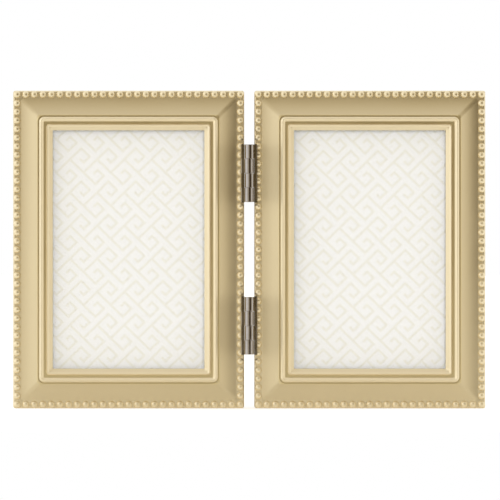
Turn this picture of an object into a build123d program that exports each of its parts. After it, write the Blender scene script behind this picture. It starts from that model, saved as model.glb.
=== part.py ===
from build123d import *

import math
import os

# Hinged double photo frame: two beaded metal leaves side by side, joined by two small butt hinges.
# All sizes are in millimetres. The frame is built lying flat with its faces up, then stood upright.
# Lying flat, X runs across from the middle of the gap, Y runs up from the bottom edges, and Z is
# the height above the narrow land that carries the beads.

# Photo card and the room around it in the pocket
card_width = 63.5
card_height = 88.9
card_thickness = 0.4
card_clearance = 0.25

# Cast shell
side_wall = 1.85
front_wall = 0.8
edge_round = 0.5
back_round = 0.4
flange_width = 2.0
flange_thickness = 0.9

# Moulding, from the outer edge inwards; the slope is that of the cove where it leaves the land, in degrees
land_width = 2.15
cove_width = 5.15
cove_rise = 2.3
cove_slope = 12
crease_width = 0.38
crease_drop = 0.4
outer_ridge_width = 1.5
outer_ridge_proud = 0.85
outer_ridge_corner = 0.9
groove_width = 0.52
inner_ridge_width = 0.95
inner_ridge_proud = 0.6
inner_ridge_corner = 0.7
lip_width = 1.45
lip_drop = 1.5

# Row of beads along the outer edge
bead_diameter = 1.9
bead_inset = 1.15
bead_pitch = 2.52

# What lies behind the opening
glass_thickness = 1.0
glass_clearance = 0.3
glass_chamfer = 0.25
pad_thickness = 2.9
board_thickness = 2.0
board_clearance = 0.25
board_corner = 1.0
velvet_thickness = 0.4
stack_gap = 0.05
slide_gap = 0.1

# Hinges, their plates let into notches in the leaves' edges and a little proud of them
leaf_gap = 3.0
fold_clearance = 0.2
hinge_height = 16.9
hinge_inset = 15.8
knuckle_count = 4
knuckle_gap = 0.15
knuckle_round = 0.12
barrel_diameter = 2.8
roll_offset = 0.1
pin_diameter = 1.5
pin_fit = 0.05
pin_chamfer = 0.2
plate_thickness = 0.9
plate_proud = 0.1
tab_thickness = 0.7
plate_reach = 8.0
plate_corner = 0.8
notch_clearance = 0.15
rivet_count = 2
rivet_shank = 1.5
rivet_head = 2.5
rivet_tail = 2.1
rivet_fit = 0.05

# Extra length of every cutting tool
overrun = 1.0

# Outline of one leaf and of its pocket
pocket_width = card_width + 2 * card_clearance
pocket_height = card_height + 2 * card_clearance
leaf_width = pocket_width + 2 * side_wall
leaf_height = pocket_height + 2 * side_wall
leaf_middle = Vector(leaf_gap / 2 + leaf_width / 2, leaf_height / 2)

# Places across the moulding
cove_end = land_width + cove_width
outer_ridge_middle = cove_end + crease_width + outer_ridge_width / 2
inner_ridge_middle = outer_ridge_middle + (outer_ridge_width + inner_ridge_width) / 2 + groove_width
moulding_width = inner_ridge_middle + lip_width
crease_corner = outer_ridge_corner + outer_ridge_width / 2 + crease_width

# Heights above the land
groove_floor = cove_rise - crease_drop
outer_ridge_top = groove_floor + outer_ridge_proud
inner_ridge_top = groove_floor + inner_ridge_proud
face_front = max(outer_ridge_top, inner_ridge_top, cove_rise, bead_diameter / 2)
glass_front = -front_wall
glass_back = glass_front - glass_thickness
card_front = glass_back - stack_gap
card_back = card_front - card_thickness
pad_front = card_back - stack_gap
pad_back = pad_front - pad_thickness
board_front = pad_back - slide_gap
board_back = board_front - board_thickness
velvet_back = board_back - velvet_thickness
flange_front = velvet_back - slide_gap
leaf_back = flange_front - flange_thickness

# Hinge line, in front of the faces so that the leaves fold together
fold_height = face_front + fold_clearance
barrel_radius = barrel_diameter / 2
plate_front = fold_height - barrel_radius
plate_back = fold_height - plate_reach
plate_face = leaf_gap / 2 - plate_proud
notch_floor = plate_face + plate_thickness
knuckle_pitch = hinge_height / knuckle_count
rivet_height = (plate_back + glass_front) / 2
hinge_feet = {"upper": leaf_height - hinge_inset - hinge_height, "lower": hinge_inset}

# The frame stands with the middle of its depth over the origin
depth_middle = (fold_height + barrel_radius + leaf_back) / 2
upright = Pos(0, depth_middle, 0) * Rot(90, 0, 0)


def block(x_range, y_range, z_range):
    """Box between two limits along each axis."""
    ranges = (x_range, y_range, z_range)
    size = [high - low for low, high in ranges]
    middle = [(high + low) / 2 for low, high in ranges]
    return Pos(*middle) * Box(*size)


def leaf_block(side_margin, foot, head, z_range):
    """Box behind the right leaf's face, set in from both sides, from one height up the leaf to another."""
    x_range = (leaf_gap / 2 + side_margin, leaf_gap / 2 + leaf_width - side_margin)
    return block(x_range, (foot, head), z_range)


def lip_top():
    """Where the sloping lip leaves the round of the inner ridge, level with its surface there."""
    radius = inner_ridge_width / 2
    middle = Vector(inner_ridge_middle, inner_ridge_top - radius)
    reach = Vector(moulding_width, groove_floor - lip_drop) - middle
    turn = math.atan2(reach.Y, reach.X) + math.acos(radius / reach.length)
    return middle.X + radius * math.cos(turn), middle.Y + radius * math.sin(turn)


def moulding_section():
    """Section of the front moulding, from its outer edge inwards and upwards."""
    crest = cove_end + crease_corner
    slope = math.radians(cove_slope)
    lip_x, lip_y = lip_top()
    edge = Line((0, glass_front), (0, -edge_round))
    edge += RadiusArc((0, -edge_round), (edge_round, 0), edge_round)
    edge += Line((edge_round, 0), (land_width, 0))
    edge += TangentArc((land_width, 0), (cove_end, cove_rise), tangent=(math.cos(slope), math.sin(slope)))
    edge += Polyline(
        (cove_end, cove_rise),
        (crest, cove_rise),
        (crest, groove_floor),
        (inner_ridge_middle, groove_floor),
        (inner_ridge_middle, lip_y),
        (lip_x, lip_y),
        (moulding_width, groove_floor - lip_drop),
        (moulding_width, glass_front),
        (0, glass_front),
    )
    return make_face(edge)


def mitred_rail(length):
    """One side of the moulding, its outer edge along X and both ends cut at 45 degrees."""
    start = Plane(origin=(-length / 2, 0, 0), x_dir=(0, 1, 0), z_dir=(1, 0, 0))
    rail = extrude(start * moulding_section(), length)
    half = length / 2
    depth = moulding_width + overrun
    corners = [(-half, 0), (half, 0), (half - depth, depth), (depth - half, depth)]
    outline = make_face(Polyline(*corners, close=True))
    height = face_front - glass_front + overrun
    return rail & Pos(0, 0, glass_front) * extrude(outline, height)


def ridge_ring(middle, width, top, corner):
    """Half-round ridge that follows the opening, with rounded corners."""
    path = RectangleRounded(leaf_width - 2 * middle, leaf_height - 2 * middle, corner).wire()
    tangent = path % 0
    start = Plane(origin=path @ 0, x_dir=Vector(0, 0, 1).cross(tangent), z_dir=tangent)
    radius = width / 2
    foot = groove_floor - crease_drop
    section = Pos(0, (foot + top - radius) / 2) * Rectangle(width, top - radius - foot)
    section += Pos(0, top - radius) * Circle(radius)
    return sweep(start * section, path=path)


def moulding():
    """The whole front moulding about the leaf's middle: mitred sides, crease and the two ridges."""
    across, up = mitred_rail(leaf_width), mitred_rail(leaf_height)
    ring = Pos(0, -leaf_height / 2) * across + Pos(0, leaf_height / 2) * Rot(0, 0, 180) * across
    ring += [Pos(-leaf_width / 2, 0) * Rot(0, 0, -90) * up, Pos(leaf_width / 2, 0) * Rot(0, 0, 90) * up]
    inside = RectangleRounded(leaf_width - 2 * cove_end, leaf_height - 2 * cove_end, crease_corner)
    ring -= Pos(0, 0, groove_floor) * extrude(inside, face_front)
    ring += ridge_ring(outer_ridge_middle, outer_ridge_width, outer_ridge_top, outer_ridge_corner)
    return ring + ridge_ring(inner_ridge_middle, inner_ridge_width, inner_ridge_top, inner_ridge_corner)


def bead_places():
    """Centres of the beads about the leaf's middle, each corner bead once."""
    half_w, half_h = leaf_width / 2 - bead_inset, leaf_height / 2 - bead_inset
    across = max(1, round(2 * half_w / bead_pitch))
    up = max(1, round(2 * half_h / bead_pitch))
    places = []
    for n in range(across):
        x = 2 * half_w * n / across - half_w
        places += [(x, -half_h), (-x, half_h)]
    for n in range(up):
        y = 2 * half_h * n / up - half_h
        places += [(half_w, y), (-half_w, -y)]
    return places


def casing():
    """Side walls and return flanges behind the moulding, open along the top behind the glass."""
    walls = leaf_block(0, 0, leaf_height, (leaf_back, glass_front))
    walls = fillet(walls.faces().sort_by(Axis.Z)[0].edges(), back_round)
    walls -= leaf_block(side_wall, side_wall, leaf_height - side_wall, (flange_front, glass_front + overrun))
    walls -= leaf_block(side_wall, leaf_height / 2, leaf_height + overrun, (flange_front, glass_back))
    window = side_wall + flange_width
    through = (leaf_back - overrun, flange_front + overrun)
    return walls - leaf_block(window, window, leaf_height + overrun, through)


def rivet_places():
    """Where the right-hand rivets' heads lie, a list for each hinge."""
    step = hinge_height / rivet_count
    return {
        name: [Pos(plate_face, foot + (n + 0.5) * step, rivet_height) for n in range(rivet_count)]
        for name, foot in hinge_feet.items()
    }


def rivet(growth=0):
    """Flush rivet along X through plate and wall, with a cone at each end."""
    shank, head, tail = (size / 2 + growth for size in (rivet_shank, rivet_head, rivet_tail))
    length = plate_proud + side_wall
    outline = Polyline(
        (0, 0),
        (0, head),
        (head - shank, shank),
        (length - tail + shank, shank),
        (length, tail),
        (length, 0),
        close=True,
    )
    return revolve(make_face(outline), Axis.X)


def rivet_hole():
    """Cutting tool for one rivet, a little wider than the rivet."""
    length = plate_proud + side_wall
    head, tail = rivet_head / 2 + rivet_fit, rivet_tail / 2 + rivet_fit
    above = Pos(-overrun / 2, 0, 0) * Rot(0, 90, 0) * Cylinder(head, overrun)
    below = Pos(length + overrun / 2, 0, 0) * Rot(0, 90, 0) * Cylinder(tail, overrun)
    return rivet(rivet_fit) + above + below


def plate_notch(foot):
    """Room for one hinge plate in the leaf's edge, open to the gap and to the front."""
    ends = (foot - notch_clearance, foot + hinge_height + notch_clearance)
    heights = (plate_back - notch_clearance, face_front + overrun)
    return block((leaf_gap / 2 - overrun, notch_floor), ends, heights)


def frame_shell():
    """Cast shell of the right leaf: casing, moulding and beads in one piece."""
    shell = casing() + Pos(leaf_middle) * moulding()
    shell += [Pos(leaf_middle) * Pos(x, y) * Sphere(bead_diameter / 2) for x, y in bead_places()]
    for foot in hinge_feet.values():
        shell -= plate_notch(foot)
    for places in rivet_places().values():
        for place in places:
            shell -= place * rivet_hole()
    return shell


def glass_pane():
    """Glass behind the front wall, resting on the pocket's floor."""
    margin = side_wall + glass_clearance
    pane = leaf_block(margin, side_wall, leaf_height - margin, (glass_back, glass_front))
    return chamfer(pane.edges(), glass_chamfer)


def insert_card():
    """Photo card against the glass."""
    foot = side_wall
    return leaf_block(side_wall + card_clearance, foot, foot + card_height, (card_back, card_front))


def filler_pad():
    """Pad the size of the card that presses it against the glass."""
    foot = side_wall
    return leaf_block(side_wall + card_clearance, foot, foot + card_height, (pad_back, pad_front))


def slid_sheet(z_range):
    """Sheet that slides in the flanges' channels, its top edge flush with the shell's."""
    sheet = leaf_block(side_wall + board_clearance, side_wall + stack_gap, leaf_height, z_range)
    return fillet(sheet.edges().filter_by(Axis.Z), board_corner)


def hinge_rod(name, radius, extra=0):
    """Rod on the hinge line, as long as the hinge and an extra at each end."""
    middle = hinge_feet[name] + hinge_height / 2
    return Pos(0, middle, fold_height) * Rot(90, 0, 0) * Cylinder(radius, hinge_height + 2 * extra)


def knuckle(foot, number):
    """Barrel and tab of one knuckle of the right-hand plate, counted from the hinge's foot."""
    low = foot + number * knuckle_pitch + knuckle_gap / 2
    high = low + knuckle_pitch - knuckle_gap
    roll = chamfer(Cylinder(barrel_radius, high - low).edges(), knuckle_round)
    tab = block((roll_offset, notch_floor), (low, high), (plate_front, plate_front + tab_thickness))
    return Pos(roll_offset, (low + high) / 2, fold_height) * Rot(90, 0, 0) * roll + tab


def hinge_plate(name, first):
    """Right-hand plate with every second knuckle, from the given one up."""
    foot = hinge_feet[name]
    plate = block((plate_face, notch_floor), (foot, foot + hinge_height), (plate_back, plate_front))
    plate = fillet(plate.faces().sort_by(Axis.Z)[0].edges().filter_by(Axis.X), plate_corner)
    for number in range(first, knuckle_count, 2):
        plate += knuckle(foot, number)
    plate -= hinge_rod(name, pin_diameter / 2 + pin_fit, overrun)
    for place in rivet_places()[name]:
        plate -= place * rivet_hole()
    return plate


def hinge_pin(name):
    """Pin with chamfered ends, flush with the hinge."""
    rod = hinge_rod(name, pin_diameter / 2)
    return chamfer(rod.edges().filter_by(GeomType.CIRCLE), pin_chamfer)


def leaf_pieces():
    """Pieces of the right leaf that the left leaf has as mirror images."""
    return {
        "frame_shell": frame_shell(),
        "glass_pane": glass_pane(),
        "insert_card": insert_card(),
        "filler_pad": filler_pad(),
        "back_board": slid_sheet((board_back, board_front)),
        "velvet_cover": slid_sheet((velvet_back, board_back)),
    }


def hinge_pieces(name):
    """Both plates of one hinge, its pin and the rivets that hold each plate."""
    rivets = Compound(children=[place * rivet() for place in rivet_places()[name]])
    return {
        f"{name}_hinge_right_plate": hinge_plate(name, 1),
        f"{name}_hinge_left_plate": mirror(hinge_plate(name, 0), Plane.YZ),
        f"{name}_hinge_pin": hinge_pin(name),
        f"{name}_hinge_right_rivets": rivets,
        f"{name}_hinge_left_rivets": mirror(rivets, Plane.YZ),
    }


def photo_frame():
    """Every piece of the frame by name, lying flat."""
    pieces = {}
    for name, piece in leaf_pieces().items():
        pieces[f"right_{name}"] = piece
        pieces[f"left_{name}"] = mirror(piece, Plane.YZ)
    for name in hinge_feet:
        pieces |= hinge_pieces(name)
    return pieces


def back_fold_limit():
    """Angle in degrees by which the leaves fold back before plates or leaves meet."""
    plates = math.atan2(plate_face, plate_reach)
    leaves = math.atan2(leaf_gap / 2, fold_height - leaf_back)
    return 2 * math.degrees(min(plates, leaves))


os.makedirs("parts", exist_ok=True)
for node, piece in photo_frame().items():
    export_step(upright * piece, f"parts/{node}.step")

print("hinge line at y", round(depth_middle - fold_height, 3))
print("folds back by at most", round(back_fold_limit(), 2), "degrees")
print("opening", round(leaf_width - 2 * moulding_width, 3), "by", round(leaf_height - 2 * moulding_width, 3))
print("leaf", round(leaf_width, 3), "by", round(leaf_height, 3), "by", round(face_front - leaf_back, 3))
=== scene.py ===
import math

import bmesh
import bpy
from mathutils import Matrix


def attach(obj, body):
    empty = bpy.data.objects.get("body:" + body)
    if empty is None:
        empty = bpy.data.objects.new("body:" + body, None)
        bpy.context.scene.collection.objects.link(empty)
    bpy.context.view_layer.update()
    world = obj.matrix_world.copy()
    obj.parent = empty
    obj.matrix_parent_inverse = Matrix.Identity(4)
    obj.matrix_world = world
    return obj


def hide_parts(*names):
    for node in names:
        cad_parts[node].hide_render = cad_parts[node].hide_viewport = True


# Looks of a hinged double photo frame. Lengths of the object are in millimetres, turned into metres where
# they are used. Places of the camera, floor and lamps are in metres.
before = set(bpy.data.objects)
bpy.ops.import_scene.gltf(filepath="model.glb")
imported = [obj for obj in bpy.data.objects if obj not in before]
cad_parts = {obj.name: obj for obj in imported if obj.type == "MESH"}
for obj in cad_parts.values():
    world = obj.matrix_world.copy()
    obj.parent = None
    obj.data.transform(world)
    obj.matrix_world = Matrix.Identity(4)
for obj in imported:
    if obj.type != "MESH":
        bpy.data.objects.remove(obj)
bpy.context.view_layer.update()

MM = 0.001
X, Y, Z = range(3)

# How far a cutter runs past what it cuts
overrun = 1.0

# Right leaf, standing
leaf_left, leaf_right, leaf_top = 1.5, 69.2, 93.1
land_y, back_y = -2.175, 6.525
side_wall, front_wall = 1.85, 0.8
flange_width, flange_y = 2.0, 5.625
slot_y = -0.375
corner_round, edge_round, back_round = 0.6, 0.5, 0.4

# Moulding, from the outer edge inwards, heights above the land
land_width, cove_width, cove_rise = 2.15, 5.15, 2.3
cove_slope, cove_facets, moulding_sunk = 12, 12, 0.6
crease_corner, floor_height = 2.03, 1.9
outer_ridge_foot, outer_ridge_corner, outer_ridge_wall, outer_ridge_root = 7.68, 1.5, 0.33, 0.3
outer_ridge_slopes = (0.52, 0.46), (0.66, 0.52)
inner_ridge_foot, inner_ridge_corner, inner_ridge_wall, inner_ridge_root = 9.7, 1.15, 0.22, 1.2
inner_ridge_slopes = (0.3, 0.3), (0.52, 0.4)
ridge_crest, crest_turn, ridge_corner_steps = 0.22, 24, 7
lip_block_start, lip_start, lip_end = 10.3, 10.75, 11.625
lip_height, lip_foot, lip_sunk = 1.0, 0.4, 0.2
hip_round, hip_edge_longest = 0.8, 2
opening_corner, opening_depth = 1.15, 4

# Beads
bead_radius, bead_height, bead_inset, bead_sunk = 1.04, 0.62, 1.15, 0.12
bead_sides, bead_rings = 14, 10
beads_across, beads_up = 26, 36

# Hinges
hinge_y, hinge_height = -5.125, 16.9
hinge_feet = {"upper": 60.4, "lower": 15.8}
barrel_radius, bore_radius, roll_offset = 1.44, 0.8, 0.08
barrel_sides, bore_sides, rivet_sides = 48, 40, 24
knuckle_count, knuckle_pitch, knuckle_gap, knuckle_round = 4, 4.225, 0.06, 0.08
plate_left, plate_right, plate_corner = 1.4, 2.3, 0.8
plate_front_y, plate_back_y = -3.725, 2.875
tab_thickness, tab_round, tab_sunk, notch_clearance = 0.7, 0.12, 0.2, 0.15
rivet_y, rivet_hole_radius, rivet_sink = 0.75, 0.8, 0.5
rivet_head_radius, rivet_tail_radius, rivet_tail = 1.3, 1.1, 0.3

# Back
velvet_low, velvet_high = (3.6, 5.125, 1.9), (67.1, 5.525, 93.1)
velvet_corner, velvet_softening = 1.0, 0.18

# Gaps in a mesh that are closed after cuts and after mirroring
hairline, mirror_seam = 0.003, 0.0001

# Places in a mesh that count as the same, in metres, and how squarely a face has to look along an axis
close_enough, squarely = 1e-6, 0.9

# Turns that stay sharp under smooth shading, in degrees
sharp_metal, sharp_velvet = 35, 50


# Modelling by hand

def deselect_all():
    bpy.ops.object.select_all(action="DESELECT")


def settle(piece):
    """Puts the piece's place, turn and size into its mesh."""
    deselect_all()
    piece.select_set(True)
    bpy.context.view_layer.objects.active = piece
    bpy.ops.object.transform_apply(location=True, rotation=True, scale=True)
    return piece


def add_block(name, low, high):
    deselect_all()
    middle = [(a + b) / 2 * MM for a, b in zip(low, high)]
    size = [(b - a) * MM for a, b in zip(low, high)]
    bpy.ops.mesh.primitive_cube_add(size=1, location=middle, scale=size)
    block = bpy.context.object
    block.name = name
    return settle(block)


def add_rod(name, radius, length, middle, sides, turn=(0, 0, 0)):
    deselect_all()
    bpy.ops.mesh.primitive_cylinder_add(
        vertices=sides, radius=radius * MM, depth=length * MM,
        location=[v * MM for v in middle], rotation=turn)
    rod = bpy.context.object
    rod.name = name
    return settle(rod)


def open_for_edit(piece, kind):
    """Edit mode with nothing selected."""
    deselect_all()
    piece.select_set(True)
    bpy.context.view_layer.objects.active = piece
    bpy.ops.object.mode_set(mode="EDIT")
    bpy.ops.mesh.select_mode(type=kind)
    bpy.ops.mesh.select_all(action="DESELECT")


def close_edit():
    bpy.ops.object.mode_set(mode="OBJECT")


def pick(piece, kind, wanted):
    """Selects the faces, edges or verts that pass a test, in edit mode."""
    mesh = bmesh.from_edit_mesh(piece.data)
    for item in getattr(mesh, kind):
        item.select_set(bool(wanted(item)))
    mesh.select_flush_mode()
    bmesh.update_edit_mesh(piece.data)


def same(a, b):
    return abs(a - b) < close_enough


def runs_along(edge, axis):
    a, b = (v.co for v in edge.verts)
    return all(same(a[n], b[n]) for n in range(3) if n != axis)


def in_plane(edge, axis, value):
    return all(same(v.co[axis], value * MM) for v in edge.verts)


def looks(axis, way):
    """Test for faces that look along an axis, forwards for 1 and backwards for -1."""
    return lambda face: face.normal[axis] * way > squarely


def round_edges(piece, wanted, width, steps):
    open_for_edit(piece, "EDGE")
    pick(piece, "edges", wanted)
    bpy.ops.mesh.bevel(offset=width * MM, segments=steps, profile=0.5, affect="EDGES", clamp_overlap=False)
    close_edit()


def step_in(steps):
    """Insets the selected face step by step; each step is how far in and how far out of the face."""
    for inward, outward in steps:
        bpy.ops.mesh.inset(thickness=inward * MM, depth=outward * MM, use_even_offset=True)


def boolean(piece, tool, operation):
    deselect_all()
    piece.select_set(True)
    bpy.context.view_layer.objects.active = piece
    modifier = piece.modifiers.new("boolean", "BOOLEAN")
    modifier.operation = operation
    modifier.solver = "EXACT"
    modifier.object = tool
    bpy.ops.object.modifier_apply(modifier=modifier.name)
    bpy.data.objects.remove(tool, do_unlink=True)


def cut(piece, tool):
    boolean(piece, tool, "DIFFERENCE")


def merge(piece, tool):
    boolean(piece, tool, "UNION")


def repeat(piece, count, step):
    """Row of copies, each a step in millimetres from the last."""
    deselect_all()
    piece.select_set(True)
    bpy.context.view_layer.objects.active = piece
    row = piece.modifiers.new("row", "ARRAY")
    row.count = count
    row.use_relative_offset = False
    row.use_constant_offset = True
    row.constant_offset_displace = [v * MM for v in step]
    bpy.ops.object.modifier_apply(modifier=row.name)
    return piece


def copy_of(piece, name):
    deselect_all()
    piece.select_set(True)
    bpy.context.view_layer.objects.active = piece
    bpy.ops.object.duplicate(linked=False)
    double = bpy.context.object
    double.name = name
    return double


def moved_copy(piece, name, move):
    double = copy_of(piece, name)
    double.location = [v * MM for v in move]
    return settle(double)


def mirrored_copy(piece, name):
    """Copy on the other side of the gap, with its faces turned outwards again."""
    double = copy_of(piece, name)
    double.scale = (-1, 1, 1)
    settle(double)
    open_for_edit(double, "VERT")
    bpy.ops.mesh.select_all(action="SELECT")
    bpy.ops.mesh.remove_doubles(threshold=mirror_seam * MM)
    bpy.ops.mesh.normals_make_consistent(inside=False)
    close_edit()
    return double


def clean(piece):
    """Closes the hairline seams that cuts can leave."""
    open_for_edit(piece, "VERT")
    bpy.ops.mesh.select_all(action="SELECT")
    bpy.ops.mesh.remove_doubles(threshold=hairline * MM)
    bpy.ops.mesh.dissolve_degenerate(threshold=hairline * MM)
    close_edit()


def smooth(piece, degrees):
    """Smooth shading up to an angle, in which wide faces stay flat and narrow ones take up the turn."""
    deselect_all()
    piece.select_set(True)
    bpy.context.view_layer.objects.active = piece
    bpy.ops.object.shade_smooth_by_angle(angle=math.radians(degrees))
    weighted = piece.modifiers.new("wide faces flat", "WEIGHTED_NORMAL")
    weighted.mode = "FACE_AREA"
    weighted.keep_sharp = True
    bpy.ops.object.modifier_apply(modifier=weighted.name)


# Nodes

def add_node(tree, kind, **settings):
    node = tree.nodes.new(kind)
    for name, value in settings.items():
        setattr(node, name, value)
    return node


def set_inputs(node, values):
    for name, value in values.items():
        node.inputs[name].default_value = value


def feed(tree, node, values):
    """Gives a node's inputs their values in turn, each a number, a vector or another node's output."""
    for socket, value in zip(node.inputs, values):
        if hasattr(value, "is_output"):
            tree.links.new(value, socket)
        else:
            socket.default_value = value
    return node.outputs[0]


def math_node(tree, operation, *values):
    return feed(tree, add_node(tree, "ShaderNodeMath", operation=operation), values)


def vector_math(tree, operation, *values):
    return feed(tree, add_node(tree, "ShaderNodeVectorMath", operation=operation), values)


def share_of(tree, value, low, high):
    """Nought to one as a value goes from low to high."""
    spread = add_node(tree, "ShaderNodeMapRange")
    set_inputs(spread, {"From Min": low, "From Max": high})
    tree.links.new(value, spread.inputs["Value"])
    return spread.outputs[0]


def new_material(name):
    material = bpy.data.materials.new(name)
    material.use_nodes = True
    return material, material.node_tree, material.node_tree.nodes["Principled BSDF"]


camera_rays = ("Is Camera Ray",)
mirror_rays = ("Is Glossy Ray", "Is Transmission Ray")


def seen_by(tree, rays):
    """One where any of these kinds of ray arrives."""
    light = add_node(tree, "ShaderNodeLightPath")
    seen = light.outputs[rays[0]]
    for ray in rays[1:]:
        seen = math_node(tree, "MAXIMUM", seen, light.outputs[ray])
    return seen


# Camera, floor and lights

# How far the camera stands off, how wide it sees at the leaves' land, and where it looks
camera_distance, camera_field, camera_sensor = 1.55, 0.14655, 36
camera_x, camera_z = 0.00023, 0.0464


def make_camera():
    """Straight on from far away, at the height of the frame's middle."""
    place = (camera_x, -camera_distance, camera_z)
    bpy.ops.object.camera_add(location=place, rotation=(math.radians(90), 0, 0))
    camera = bpy.context.object
    camera.name = "front_camera"
    camera.data.sensor_width = camera_sensor
    camera.data.lens = camera_sensor * (camera_distance + land_y * MM) / camera_field
    bpy.context.scene.camera = camera


# How far the floor runs in front of the frame, how wide it is, and how far it lies below the frame's foot
floor_reach, floor_size, floor_drop = 0.2, 8, 0.00002
floor_colour = (0.80, 0.785, 0.75, 1)

# Added light that keeps the floor white to the camera, and pale in metal and glass
camera_lift, mirror_lift = 0.5, 0.24


def make_floor():
    """Pale floor that keeps the frame's shadow."""
    deselect_all()
    bpy.ops.mesh.primitive_plane_add(size=floor_size, location=(0, floor_size / 2 - floor_reach, -floor_drop))
    floor = bpy.context.object
    floor.name = "floor"
    material, tree, shader = new_material("pale_floor")
    set_inputs(shader, {"Base Color": floor_colour, "Roughness": 0.9, "Emission Color": (1, 1, 1, 1)})
    to_camera = math_node(tree, "MULTIPLY", seen_by(tree, camera_rays), camera_lift)
    to_mirrors = math_node(tree, "MULTIPLY", seen_by(tree, mirror_rays), mirror_lift)
    tree.links.new(math_node(tree, "MAXIMUM", to_camera, to_mirrors), shader.inputs["Emission Strength"])
    floor.data.materials.append(material)


# White tent with a tall dark opening to the right of the camera: angle from the opening's middle in degrees,
# and the light from there. Angles up and down count for less, by the squeeze. The tent is a little brighter
# on the left.
tent_opening, tent_squeeze = 20, 0.65
tent_light = {
    0: (0.08, 0.06, 0.05),
    20: (0.13, 0.09, 0.03),
    29: (0.63, 0.54, 0.37),
    40: (0.79, 0.73, 0.62),
    60: (0.87, 0.84, 0.81),
    95: (0.90, 0.90, 0.90),
}
tent_left_gain = 0.06

# How far round behind the frame the tent fades into the white backdrop, in mirrors
backdrop_fade = 0.3


def tent_colour(tree, direction):
    """The tent's light from a direction, by its angle from the middle of the opening."""
    even = vector_math(tree, "NORMALIZE", vector_math(tree, "MULTIPLY", direction, (1, 1, tent_squeeze)))
    opening = math.radians(tent_opening)
    towards = vector_math(tree, "DOT_PRODUCT", even, (math.sin(opening), -math.cos(opening), 0))
    angle = math_node(tree, "ARCCOSINE", towards.node.outputs["Value"])
    ramp = add_node(tree, "ShaderNodeValToRGB")
    stops = ramp.color_ramp.elements
    while len(stops) > 1:
        stops.remove(stops[-1])
    for n, (degrees, colour) in enumerate(tent_light.items()):
        stop = stops[0] if n == 0 else stops.new(degrees / 180)
        stop.position = degrees / 180
        stop.color = (*colour, 1)
    tree.links.new(math_node(tree, "DIVIDE", angle, math.pi), ramp.inputs[0])
    return ramp.outputs["Color"]


def make_world():
    """The tent for light and reflections, plain white as a backdrop behind the frame."""
    world = bpy.data.worlds.new("white_tent")
    bpy.context.scene.world = world
    world.use_nodes = True
    tree = world.node_tree
    tree.nodes.clear()
    direction = add_node(tree, "ShaderNodeTexCoord").outputs["Generated"]
    parts = add_node(tree, "ShaderNodeSeparateXYZ")
    tree.links.new(direction, parts.inputs[0])
    tent = add_node(tree, "ShaderNodeBackground")
    tree.links.new(tent_colour(tree, direction), tent.inputs["Color"])
    gain = math_node(tree, "MULTIPLY_ADD", parts.outputs["X"], -tent_left_gain, 1.0)
    tree.links.new(gain, tent.inputs["Strength"])
    backdrop = add_node(tree, "ShaderNodeBackground")
    backdrop.inputs["Color"].default_value = (1, 1, 1, 1)
    behind = share_of(tree, parts.outputs["Y"], 0, backdrop_fade)
    mirrored = math_node(tree, "MULTIPLY", seen_by(tree, mirror_rays), behind)
    white = math_node(tree, "MAXIMUM", seen_by(tree, camera_rays), mirrored)
    mix = add_node(tree, "ShaderNodeMixShader")
    tree.links.new(white, mix.inputs[0])
    tree.links.new(tent.outputs[0], mix.inputs[1])
    tree.links.new(backdrop.outputs[0], mix.inputs[2])
    out = add_node(tree, "ShaderNodeOutputWorld")
    tree.links.new(mix.outputs[0], out.inputs["Surface"])


lamp_aim = (0, 0, 0.05)


def make_lamp(name, place, size, power):
    """Soft square lamp that looks at the frame."""
    lamp = bpy.data.lights.new(name, "AREA")
    lamp.shape = "SQUARE"
    lamp.size = size
    lamp.energy = power
    holder = bpy.data.objects.new(name, lamp)
    bpy.context.scene.collection.objects.link(holder)
    holder.location = place
    away = holder.location.copy()
    for n in range(3):
        away[n] -= lamp_aim[n]
    holder.rotation_euler = away.to_track_quat("Z", "Y").to_euler()
    return holder


make_camera()
make_floor()
make_world()
make_lamp("left_softbox", (-1.3, -0.55, 0.45), size=1.2, power=1.4)
make_lamp("right_softbox", (1.35, -0.45, 0.4), size=1.2, power=1.0)
# Lights the cards from the front, and is not mirrored in the metal
fill = make_lamp("front_fill", (0.2, -1.78, 0.3), size=1.0, power=11.0)
fill.data.color = (0.92, 0.955, 1.0)
fill.visible_glossy = False


# Leaf

def inside(margin, y_low, y_high):
    """Corners of a block set in from the leaf's outline by a margin all round."""
    return (leaf_left + margin, y_low, margin), (leaf_right - margin, y_high, leaf_top - margin)


def cove_steps(count):
    """Arc that leaves the land at a gentle slope and steepens up to the crease."""
    first = math.radians(cove_slope)
    last = 2 * math.atan2(cove_rise, cove_width) - first
    radius = math.hypot(cove_width, cove_rise) / (2 * math.sin((last - first) / 2))
    turns = [first + (last - first) * n / count for n in range(count + 1)]
    return [(radius * (math.sin(b) - math.sin(a)), radius * (math.cos(a) - math.cos(b)))
            for a, b in zip(turns, turns[1:])]


def on_hip(vertex):
    """True where a vertex lies on the diagonal from a corner of the leaf."""
    across = min(vertex.co.x - leaf_left * MM, leaf_right * MM - vertex.co.x)
    up = min(vertex.co.z, leaf_top * MM - vertex.co.z)
    return same(across, up)


def on_cove_hip(edge):
    """True for the short edges where two coves meet at a corner."""
    return edge.calc_length() < hip_edge_longest * MM and all(map(on_hip, edge.verts))


def moulding_block():
    """Block on the land that carries the cove, up to the crease."""
    block = add_block("moulding", *inside(land_width, land_y, land_y + moulding_sunk))
    open_for_edit(block, "FACE")
    pick(block, "faces", looks(Y, -1))
    step_in(cove_steps(cove_facets))
    close_edit()
    round_edges(block, on_cove_hip, hip_round, steps=6)
    return block


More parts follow.
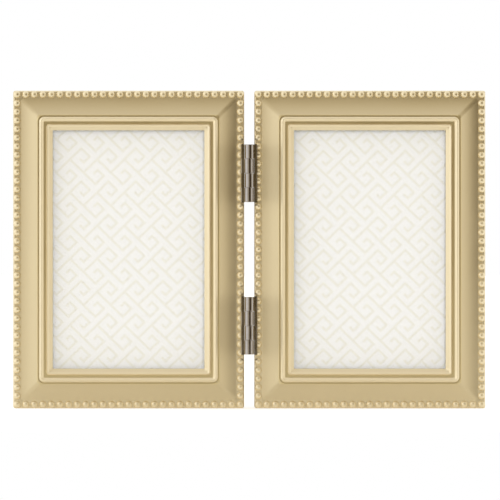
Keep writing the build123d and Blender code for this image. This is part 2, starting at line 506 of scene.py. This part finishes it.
def casing():
    """Walls, return flanges and the slot for the back board."""
    shell = add_block("right_leaf_metal", *inside(0, land_y, back_y))
    round_edges(shell, lambda edge: runs_along(edge, Y), corner_round, steps=4)
    round_edges(shell, lambda edge: in_plane(edge, Y, land_y), edge_round, steps=4)
    round_edges(shell, lambda edge: in_plane(edge, Y, back_y), back_round, steps=3)
    cut(shell, add_block("pocket", *inside(side_wall, land_y + front_wall, flange_y)))
    low, high = inside(side_wall, slot_y, flange_y)
    cut(shell, add_block("slot", (low[0], low[1], leaf_top / 2), (high[0], high[1], leaf_top + overrun)))
    low, high = inside(side_wall + flange_width, flange_y - overrun / 2, back_y + overrun)
    cut(shell, add_block("window", low, (high[0], high[1], leaf_top + overrun)))
    return shell


def crease_cutter():
    """Takes the moulding block down to the floor of the crease."""
    start = land_width + cove_width
    floor_y = land_y - floor_height
    tool = add_block("crease", *inside(start, floor_y - 2 * overrun, floor_y))
    round_edges(tool, lambda edge: runs_along(edge, Y), crease_corner, steps=8)
    return tool


def opening_cutter():
    """Sloping side of the lip and the opening behind it."""
    slope_drop = lip_height - lip_foot
    above = overrun / 10
    lead = above * (lip_end - lip_start) / slope_drop
    lip_y = land_y - lip_height
    tool = add_block("opening", *inside(lip_start - lead, lip_y - overrun, lip_y - above))
    round_edges(tool, lambda edge: runs_along(edge, Y), opening_corner, steps=5)
    open_for_edit(tool, "FACE")
    pick(tool, "faces", looks(Y, 1))
    step_in([(lip_end - lip_start + lead, slope_drop + above), (0, opening_depth)])
    close_edit()
    return tool


def lip_block():
    """Step inside the inner ridge, from which the sloping lip is cut."""
    return add_block("lip", *inside(lip_block_start, land_y - lip_height, land_y - lip_sunk))


def ridge(name, foot, corner, root, profile):
    """Ridge round the opening: steps across it from its outer foot, each how far in and how far up."""
    low, high = inside(foot, 0, 0)
    deselect_all()
    bpy.ops.mesh.primitive_plane_add(
        size=1, rotation=(math.radians(90), 0, 0),
        location=((low[0] + high[0]) / 2 * MM, (land_y - floor_height + root) * MM, leaf_top / 2 * MM))
    ring = bpy.context.object
    ring.name = name
    ring.scale = ((high[0] - low[0]) * MM, (high[2] - low[2]) * MM, 1)
    settle(ring)
    open_for_edit(ring, "VERT")
    bpy.ops.mesh.select_all(action="SELECT")
    bpy.ops.mesh.bevel(
        offset=corner * MM, segments=ridge_corner_steps, profile=0.5, affect="VERTICES", clamp_overlap=False)
    bpy.ops.mesh.select_mode(type="FACE")
    bpy.ops.mesh.select_all(action="SELECT")
    step_in(profile)
    bpy.ops.mesh.delete(type="FACE")
    bpy.ops.mesh.select_mode(type="EDGE")
    pick(ring, "edges", lambda edge: edge.is_boundary)
    bpy.ops.mesh.bridge_edge_loops()
    bpy.ops.mesh.select_all(action="SELECT")
    bpy.ops.mesh.normals_make_consistent(inside=False)
    close_edit()
    return ring


def roof(root, wall, outer, inner):
    """Upright wall from the root, two slopes with a narrow round crest between them, and back to the root."""
    turns = [math.radians(v) for v in (crest_turn, 0, -crest_turn)]
    crest = [(ridge_crest * math.cos(a) / len(turns), ridge_crest * math.sin(a) / len(turns)) for a in turns]
    climb = root + wall
    return [(0, climb), outer, *crest, (inner[0], -inner[1]), (0, inner[1] - outer[1] - climb)]


def bead(name, x, z):
    """Domed bead: a ball sunk into the land and cut off flat just below it."""
    ball_radius = (bead_radius ** 2 + bead_height ** 2) / (2 * bead_height)
    sunk = land_y - bead_height + ball_radius
    deselect_all()
    bpy.ops.mesh.primitive_uv_sphere_add(
        segments=bead_sides, ring_count=bead_rings, radius=ball_radius * MM,
        location=(x * MM, sunk * MM, z * MM), rotation=(math.radians(90), 0, 0))
    ball = bpy.context.object
    ball.name = name
    settle(ball)
    open_for_edit(ball, "FACE")
    bpy.ops.mesh.select_all(action="SELECT")
    bpy.ops.mesh.bisect(
        plane_co=(0, (land_y + bead_sunk) * MM, 0), plane_no=(0, 1, 0), use_fill=True, clear_outer=True)
    close_edit()
    return ball


def bead_rows():
    """Rows of beads along the top and bottom, and columns between them."""
    span = leaf_right - leaf_left - 2 * bead_inset, leaf_top - 2 * bead_inset
    across, up = span[0] / beads_across, span[1] / beads_up
    rows = repeat(bead("beads", leaf_left + bead_inset, bead_inset), beads_across + 1, (across, 0, 0))
    repeat(rows, 2, (0, 0, span[1]))
    columns = repeat(bead("columns", leaf_left + bead_inset, bead_inset + up), beads_up - 1, (0, 0, up))
    repeat(columns, 2, (span[0], 0, 0))
    deselect_all()
    columns.select_set(True)
    rows.select_set(True)
    bpy.context.view_layer.objects.active = rows
    bpy.ops.object.join()
    return rows


def rivet_cutter(z):
    """Hole through plate and side wall, wider at both ends."""
    wall_face = leaf_left + side_wall
    shank = wall_face - rivet_tail - plate_left - rivet_sink
    start = (plate_left - overrun / 2, rivet_y, z)
    tool = add_rod("rivet_hole", rivet_head_radius, overrun, start, rivet_sides, (0, math.radians(90), 0))
    open_for_edit(tool, "FACE")
    pick(tool, "faces", looks(X, 1))
    radii = (rivet_head_radius, rivet_hole_radius, rivet_hole_radius, rivet_tail_radius, rivet_tail_radius)
    for before, after, onwards in zip(radii, radii[1:], (rivet_sink, shank, rivet_tail, overrun / 2)):
        bpy.ops.mesh.extrude_region_move(TRANSFORM_OT_translate={"value": (onwards * MM, 0, 0)})
        bpy.ops.transform.resize(
            value=(1, after / before, after / before), center_override=(0, rivet_y * MM, z * MM))
    close_edit()
    return tool


def notch_cutter(foot):
    """Room for a hinge plate in the leaf's edge, open to the gap and to the front."""
    low = (leaf_left - overrun, hinge_y, foot - notch_clearance)
    high = (plate_right, plate_back_y + notch_clearance, foot + hinge_height + notch_clearance)
    return add_block("notch", low, high)


def rivet_heights(foot):
    return [foot + hinge_height / 4, foot + hinge_height * 3 / 4]


def frame_leaf():
    """Cast leaf: walls, cove, crease, two ridges, lip and beads."""
    shell = casing()
    merge(shell, moulding_block())
    cut(shell, crease_cutter())
    merge(shell, ridge("outer_ridge", outer_ridge_foot, outer_ridge_corner, outer_ridge_root,
                       roof(outer_ridge_root, outer_ridge_wall, *outer_ridge_slopes)))
    merge(shell, lip_block())
    cut(shell, opening_cutter())
    merge(shell, ridge("inner_ridge", inner_ridge_foot, inner_ridge_corner, inner_ridge_root,
                       roof(inner_ridge_root, inner_ridge_wall, *inner_ridge_slopes)))
    merge(shell, bead_rows())
    for foot in hinge_feet.values():
        cut(shell, notch_cutter(foot))
        for z in rivet_heights(foot):
            cut(shell, rivet_cutter(z))
    clean(shell)
    return shell


# How much paler tint each place takes, partly plating worn bright by handling and partly painted highlight:
# hollows, plain faces, the land among the beads, the rim and lip, and the ridges and beads. Faces are told
# apart by a margin, and points on an edge are caught by a hair.
hollow_level, plain_level, land_highlight_level, rim_and_lip_highlight_level, proud_highlight_level = 0.0, 0.4, 0.72, 0.87, 1.0
face_margin, hair, rim_share = 0.1, 0.01, 0.75


def wear_and_highlight_level(inset, height):
    """Level at a distance in from the leaf's edge and a height above its land."""
    on_bead = inset < land_width and height > face_margin
    on_rim = inset < edge_round * rim_share and height > -front_wall
    on_lip = inset > lip_start - face_margin and height > lip_foot - hair
    on_ridge = inset > outer_ridge_foot - hair and height > floor_height + face_margin
    if on_bead or on_ridge:
        return proud_highlight_level
    if on_rim or on_lip:
        return rim_and_lip_highlight_level
    if inset < land_width and height > -face_margin:
        return land_highlight_level
    in_hollow = inset > land_width + cove_width - hair and height > lip_height + face_margin
    return hollow_level if in_hollow else plain_level


def mark_wear_and_highlight(piece):
    """Stores the level on every point, for the plating's colour and gloss: wear together with a painted
    highlight.
    """
    mark = piece.data.attributes.new("wear_and_highlight", "FLOAT", "POINT")
    for vertex, point in zip(piece.data.vertices, mark.data):
        across, up = abs(vertex.co.x) / MM, vertex.co.z / MM
        inset = min(across - leaf_left, leaf_right - across, up, leaf_top - up)
        point.value = wear_and_highlight_level(inset, land_y - vertex.co.y / MM)


right_leaf = frame_leaf()
left_leaf = mirrored_copy(right_leaf, "left_leaf_metal")
for side, piece in (("right", right_leaf), ("left", left_leaf)):
    mark_wear_and_highlight(piece)
    smooth(piece, sharp_metal)
    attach(piece, f"{side}_leaf")
    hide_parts(f"{side}_frame_shell")


# Hinges

def knuckle(low):
    """Rolled knuckle with its tab, for the right-hand plate."""
    high = low + knuckle_pitch - knuckle_gap
    middle = (roll_offset, hinge_y, (low + high) / 2)
    roll = add_rod("knuckle", barrel_radius, high - low, middle, barrel_sides)
    round_edges(roll, lambda edge: in_plane(edge, Z, low) or in_plane(edge, Z, high), knuckle_round, steps=1)
    tab_front, tab_back = plate_front_y - tab_thickness, plate_front_y + tab_sunk
    tab = add_block("tab", (roll_offset, tab_front, low), (plate_right, tab_back, high))
    round_edges(
        tab, lambda edge: in_plane(edge, X, plate_right) and in_plane(edge, Y, tab_front), tab_round, steps=4)
    merge(roll, tab)
    return roll


def hinge_plate(name, first):
    """Right-hand plate of the upper hinge with every second knuckle, from the given one up."""
    foot = hinge_feet["upper"]
    head = foot + hinge_height
    plate = add_block(name, (plate_left, plate_front_y, foot), (plate_right, plate_back_y, head))
    round_edges(
        plate, lambda edge: in_plane(edge, Y, plate_back_y) and runs_along(edge, X), plate_corner, steps=5)
    for number in range(first, knuckle_count, 2):
        merge(plate, knuckle(foot + number * knuckle_pitch + knuckle_gap / 2))
    middle = (0, hinge_y, (foot + head) / 2)
    cut(plate, add_rod("bore", bore_radius, hinge_height + 2 * overrun, middle, bore_sides))
    for z in rivet_heights(foot):
        cut(plate, rivet_cutter(z))
    clean(plate)
    return plate


hinge_drop = hinge_feet["lower"] - hinge_feet["upper"]
plates = {"upper_hinge_right_plate": hinge_plate("upper_right_leaf_plate", 1)}
toothed = hinge_plate("left_hand_plate", 0)
plates["upper_hinge_left_plate"] = mirrored_copy(toothed, "upper_left_leaf_plate")
bpy.data.objects.remove(toothed, do_unlink=True)
for side in ("right", "left"):
    above = plates[f"upper_hinge_{side}_plate"]
    smooth(above, sharp_metal)
    plates[f"lower_hinge_{side}_plate"] = moved_copy(above, f"lower_{side}_leaf_plate", (0, 0, hinge_drop))
for node, piece in plates.items():
    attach(piece, "right_leaf" if "right" in node else "left_leaf")
    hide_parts(node)


# Velvet backs

def velvet_back():
    """Thin velvet sheet with rounded corners and softened edges."""
    sheet = add_block("right_velvet", velvet_low, velvet_high)
    round_edges(sheet, lambda edge: runs_along(edge, Y), velvet_corner, steps=6)
    round_edges(sheet, lambda edge: in_plane(edge, Y, velvet_high[1]), velvet_softening, steps=3)
    return sheet


right_velvet = velvet_back()
left_velvet = mirrored_copy(right_velvet, "left_velvet")
for side, piece in (("right", right_velvet), ("left", left_velvet)):
    smooth(piece, sharp_velvet)
    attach(piece, f"{side}_back")
    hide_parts(f"{side}_velvet_cover")


# Materials

def new_group(name, inputs, outputs):
    """Empty node group; inputs are name: (kind, value), outputs name: kind."""
    group = bpy.data.node_groups.new(name, "ShaderNodeTree")
    for label, (kind, value) in inputs.items():
        socket = group.interface.new_socket(label, in_out="INPUT", socket_type=kind)
        socket.default_value = value
    for label, kind in outputs.items():
        group.interface.new_socket(label, in_out="OUTPUT", socket_type=kind)
    return group, group.nodes.new("NodeGroupInput"), group.nodes.new("NodeGroupOutput")


# Middle band of the noise that is spread over nought to one
mottle_band = 0.3, 0.7


def mottle_group():
    """Uneven patches with fine grain: one mask for colour and gloss, one height for the bump."""
    group, given, out = new_group(
        "mottle",
        {"Patch Scale": ("NodeSocketFloat", 80.0), "Grain Scale": ("NodeSocketFloat", 3000.0)},
        {"Patches": "NodeSocketFloat", "Grain": "NodeSocketFloat"})
    place = add_node(group, "ShaderNodeTexCoord")
    for label, scale, detail in (("Patches", "Patch Scale", 3), ("Grain", "Grain Scale", 2)):
        noise = add_node(group, "ShaderNodeTexNoise")
        noise.inputs["Detail"].default_value = detail
        group.links.new(place.outputs["Object"], noise.inputs["Vector"])
        group.links.new(given.outputs[scale], noise.inputs["Scale"])
        group.links.new(share_of(group, noise.outputs[0], *mottle_band), out.inputs[label])
    return group


mottle = mottle_group()


def place_group(tree, group, values):
    node = add_node(tree, "ShaderNodeGroup", node_tree=group)
    set_inputs(node, values)
    return node


def colour_between(tree, factor, first, second):
    """Mix of two colours, each a triple or another node's output."""
    mix = add_node(tree, "ShaderNodeMix", data_type="RGBA")
    tree.links.new(factor, mix.inputs["Factor"])
    for label, colour in (("A", first), ("B", second)):
        if hasattr(colour, "is_output"):
            tree.links.new(colour, mix.inputs[label])
        else:
            mix.inputs[label].default_value = (*colour, 1)
    return mix.outputs["Result"]


def range_between(tree, factor, low, high):
    spread = add_node(tree, "ShaderNodeMapRange")
    set_inputs(spread, {"To Min": low, "To Max": high})
    tree.links.new(factor, spread.inputs["Value"])
    return spread.outputs[0]


def bump_from(tree, shader, height, distance, strength):
    bump = add_node(tree, "ShaderNodeBump")
    set_inputs(bump, {"Strength": strength, "Distance": distance})
    tree.links.new(height, bump.inputs["Height"])
    tree.links.new(bump.outputs["Normal"], shader.inputs["Normal"])


def satin_gold():
    """Champagne gold plating under a satin lacquer, paler and smoother on beads, ridges, rim and lip, partly
    wear from handling and partly painted highlight.
    """
    material, tree, shader = new_material("satin_gold")
    uneven = place_group(tree, mottle, {"Patch Scale": 70.0, "Grain Scale": 4200.0})
    patches = uneven.outputs["Patches"]
    wear_and_highlight = add_node(tree, "ShaderNodeAttribute", attribute_name="wear_and_highlight").outputs["Fac"]
    deep = colour_between(tree, patches, (0.735, 0.615, 0.345), (0.755, 0.635, 0.365))
    plain = colour_between(tree, patches, (0.715, 0.607, 0.383), (0.735, 0.627, 0.403))
    # Paler tint on beads, ridges, rim and lip: partly worn plating, partly painted highlight.
    painted_highlight_tint = colour_between(tree, patches, (0.93, 0.815, 0.565), (0.95, 0.835, 0.585))
    out_of_hollow = share_of(tree, wear_and_highlight, hollow_level, plain_level)
    highlight_share = share_of(tree, wear_and_highlight, plain_level, proud_highlight_level)
    tint = colour_between(tree, highlight_share, colour_between(tree, out_of_hollow, deep, plain), painted_highlight_tint)
    tree.links.new(tint, shader.inputs["Base Color"])
    satin = range_between(tree, patches, 0.40, 0.46)
    tree.links.new(math_node(tree, "MULTIPLY_ADD", highlight_share, -0.02, satin), shader.inputs["Roughness"])
    shader.inputs["Metallic"].default_value = 1.0
    bump_from(tree, shader, uneven.outputs["Grain"], distance=0.00002, strength=0.12)
    return material


def plain_noise_material(name, first, second, roughness, patch, grain, bump, metallic=0.0):
    """Uneven colour and roughness between two ends, with a fine grain."""
    material, tree, shader = new_material(name)
    uneven = place_group(tree, mottle, {"Patch Scale": patch, "Grain Scale": grain})
    patches = uneven.outputs["Patches"]
    tree.links.new(colour_between(tree, patches, first, second), shader.inputs["Base Color"])
    tree.links.new(range_between(tree, patches, *roughness), shader.inputs["Roughness"])
    shader.inputs["Metallic"].default_value = metallic
    bump_from(tree, shader, uneven.outputs["Grain"], distance=bump, strength=0.3)
    return material


# Diagonal fret printed on the cards. Its strokes lie along two diagonals, first and second, in steps of half
# a millimetre across and 0.486 up, and the whole figure repeats every 8 mm across and 9.72 mm up, from a
# start on each card.
fret_across, fret_up, fret_rise = 8.0, 9.72, 0.486
fret_softness, fret_ink = 0.22, (0.85, 0.835, 0.775)
fret_starts = {"left": (-56.8, 0, 51.43), "right": (14.28, 0, 50.7)}
fret_strokes = {
    "hook foot": ((4.7, 7.5), (9.0, 10.0)),
    "hook side": ((6.5, 7.5), (9.0, 13.5)),
    "hook head": ((1.5, 7.5), (12.5, 13.5)),
    "long side": ((1.5, 2.5), (-1.6, 13.5)),
    "step side": ((12.8, 13.8), (9.0, 11.8)),
    "step head": ((12.8, 17.5), (10.8, 11.8)),
    "far side": ((16.5, 17.5), (5.9, 11.8)),
    "long foot": ((1.5, 17.5), (5.9, 6.9)),
}


def fret_stroke_group():
    """Ink of one straight stroke of the fret, from its middle and its half length along each diagonal."""
    group, given, out = new_group(
        "fret stroke",
        {"Place": ("NodeSocketVector", (0, 0, 0)), "Middle": ("NodeSocketVector", (0, 0, 0)),
         "Reach": ("NodeSocketVector", (1, 1, 1)), "Softness": ("NodeSocketFloat", 0.2)},
        {"Ink": "NodeSocketFloat"})
    half = (fret_across / 2, 1.0, fret_up / 2)
    away = vector_math(group, "SUBTRACT", given.outputs["Place"], given.outputs["Middle"])
    near = vector_math(group, "WRAP", away, half, [-v for v in half])
    parts = add_node(group, "ShaderNodeSeparateXYZ")
    group.links.new(near, parts.inputs[0])
    climb = math_node(group, "DIVIDE", parts.outputs["Z"], 2 * fret_rise)
    first = math_node(group, "SUBTRACT", parts.outputs["X"], climb)
    second = math_node(group, "ADD", parts.outputs["X"], climb)
    diagonals = add_node(group, "ShaderNodeCombineXYZ")
    group.links.new(first, diagonals.inputs["X"])
    group.links.new(second, diagonals.inputs["Y"])
    off_middle = vector_math(group, "ABSOLUTE", diagonals.outputs[0])
    outside = vector_math(group, "SUBTRACT", off_middle, given.outputs["Reach"])
    apart = add_node(group, "ShaderNodeSeparateXYZ")
    group.links.new(outside, apart.inputs[0])
    furthest = math_node(group, "MAXIMUM", apart.outputs["X"], apart.outputs["Y"])
    soft = math_node(group, "DIVIDE", furthest, given.outputs["Softness"])
    ink = math_node(group, "SUBTRACT", 0.5, soft)
    ink.node.use_clamp = True
    group.links.new(ink, out.inputs["Ink"])
    return group


def fret_group():
    """The whole fret, from the place of its figure on the card."""
    stroke = fret_stroke_group()
    group, given, out = new_group(
        "diagonal fret", {"Start": ("NodeSocketVector", (0, 0, 0))}, {"Ink": "NodeSocketFloat"})
    place = add_node(group, "ShaderNodeTexCoord")
    in_millimetres = vector_math(group, "SCALE", place.outputs["Object"])
    in_millimetres.node.inputs["Scale"].default_value = 1 / MM
    start = vector_math(group, "SUBTRACT", in_millimetres, given.outputs["Start"])
    ink = 0.0
    for first, second in fret_strokes.values():
        middle = (sum(first) / 2, sum(second) / 2)
        reach = ((first[1] - first[0]) / 2, (second[1] - second[0]) / 2, 0)
        node = place_group(group, stroke, {
            "Middle": ((middle[0] + middle[1]) / 2, 0, fret_rise * (middle[1] - middle[0])),
            "Reach": reach, "Softness": fret_softness})
        group.links.new(start, node.inputs["Place"])
        ink = math_node(group, "MAXIMUM", ink, node.outputs["Ink"])
    group.links.new(ink, out.inputs["Ink"])
    return group


fret = fret_group()


def printed_card(name, start):
    """Warm white card with the pale fret printed on it."""
    material, tree, shader = new_material(name)
    uneven = place_group(tree, mottle, {"Patch Scale": 300.0, "Grain Scale": 5000.0})
    paper = colour_between(tree, uneven.outputs["Patches"], (0.918, 0.912, 0.91), (0.933, 0.927, 0.925))
    printed = place_group(tree, fret, {"Start": start})
    tint = colour_between(tree, printed.outputs["Ink"], paper, fret_ink)
    tree.links.new(tint, shader.inputs["Base Color"])
    tree.links.new(range_between(tree, uneven.outputs["Patches"], 0.55, 0.65), shader.inputs["Roughness"])
    bump_from(tree, shader, uneven.outputs["Grain"], distance=0.00001, strength=0.2)
    return material


def clear_glass():
    """Picture glass that lets light through to the card without casting a shadow on it."""
    material, tree, shader = new_material("clear_glass")
    set_inputs(shader, {"Base Color": (0.985, 0.995, 0.99, 1), "Roughness": 0.0, "IOR": 1.45,
                        "Transmission Weight": 1.0})
    clear = add_node(tree, "ShaderNodeBsdfTransparent")
    mix = add_node(tree, "ShaderNodeMixShader")
    out = tree.nodes["Material Output"]
    tree.links.new(seen_by(tree, ("Is Shadow Ray", "Is Diffuse Ray")), mix.inputs[0])
    tree.links.new(shader.outputs[0], mix.inputs[1])
    tree.links.new(clear.outputs[0], mix.inputs[2])
    tree.links.new(mix.outputs[0], out.inputs["Surface"])
    return material


def wear(node_or_piece, material):
    """Gives a piece, or a CAD node by its name, its one material."""
    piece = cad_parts[node_or_piece] if isinstance(node_or_piece, str) else node_or_piece
    piece.data.materials.clear()
    piece.data.materials.append(material)


gold = satin_gold()
for piece in (right_leaf, left_leaf):
    wear(piece, gold)

glass = clear_glass()
cards = {side: printed_card(f"{side}_card", start) for side, start in fret_starts.items()}
board = plain_noise_material(
    "grey_board", (0.34, 0.32, 0.29), (0.46, 0.43, 0.4), roughness=(0.85, 0.95),
    patch=900.0, grain=6000.0, bump=0.00004)
fibre = plain_noise_material(
    "pressed_fibre", (0.17, 0.1, 0.06), (0.28, 0.18, 0.11), roughness=(0.6, 0.75),
    patch=1200.0, grain=7000.0, bump=0.00003)
velvet = plain_noise_material(
    "black_velvet", (0.010, 0.010, 0.011), (0.026, 0.026, 0.029), roughness=(0.9, 1.0),
    patch=160.0, grain=5000.0, bump=0.0001)
set_inputs(velvet.node_tree.nodes["Principled BSDF"], {
    "Sheen Weight": 0.45, "Sheen Roughness": 0.35, "Sheen Tint": (0.55, 0.55, 0.6, 1),
    "Specular IOR Level": 0.15})
nickel = plain_noise_material(
    "dark_nickel", (0.41, 0.382, 0.363), (0.465, 0.433, 0.41), roughness=(0.11, 0.16),
    patch=500.0, grain=5000.0, bump=0.000004, metallic=1.0)
rivet_metal = plain_noise_material(
    "rivet_metal", (0.29, 0.275, 0.26), (0.36, 0.345, 0.33), roughness=(0.3, 0.4),
    patch=900.0, grain=5000.0, bump=0.00001, metallic=1.0)

for side in ("right", "left"):
    wear(f"{side}_glass_pane", glass)
    wear(f"{side}_insert_card", cards[side])
    wear(f"{side}_filler_pad", board)
    wear(f"{side}_back_board", fibre)
    for hinge in ("upper", "lower"):
        wear(f"{hinge}_hinge_{side}_rivets", rivet_metal)
for hinge in ("upper", "lower"):
    wear(f"{hinge}_hinge_pin", nickel)
for piece in plates.values():
    wear(piece, nickel)
for piece in (right_velvet, left_velvet):
    wear(piece, velvet)


# Colour view

bpy.context.scene.view_settings.view_transform = "Standard"
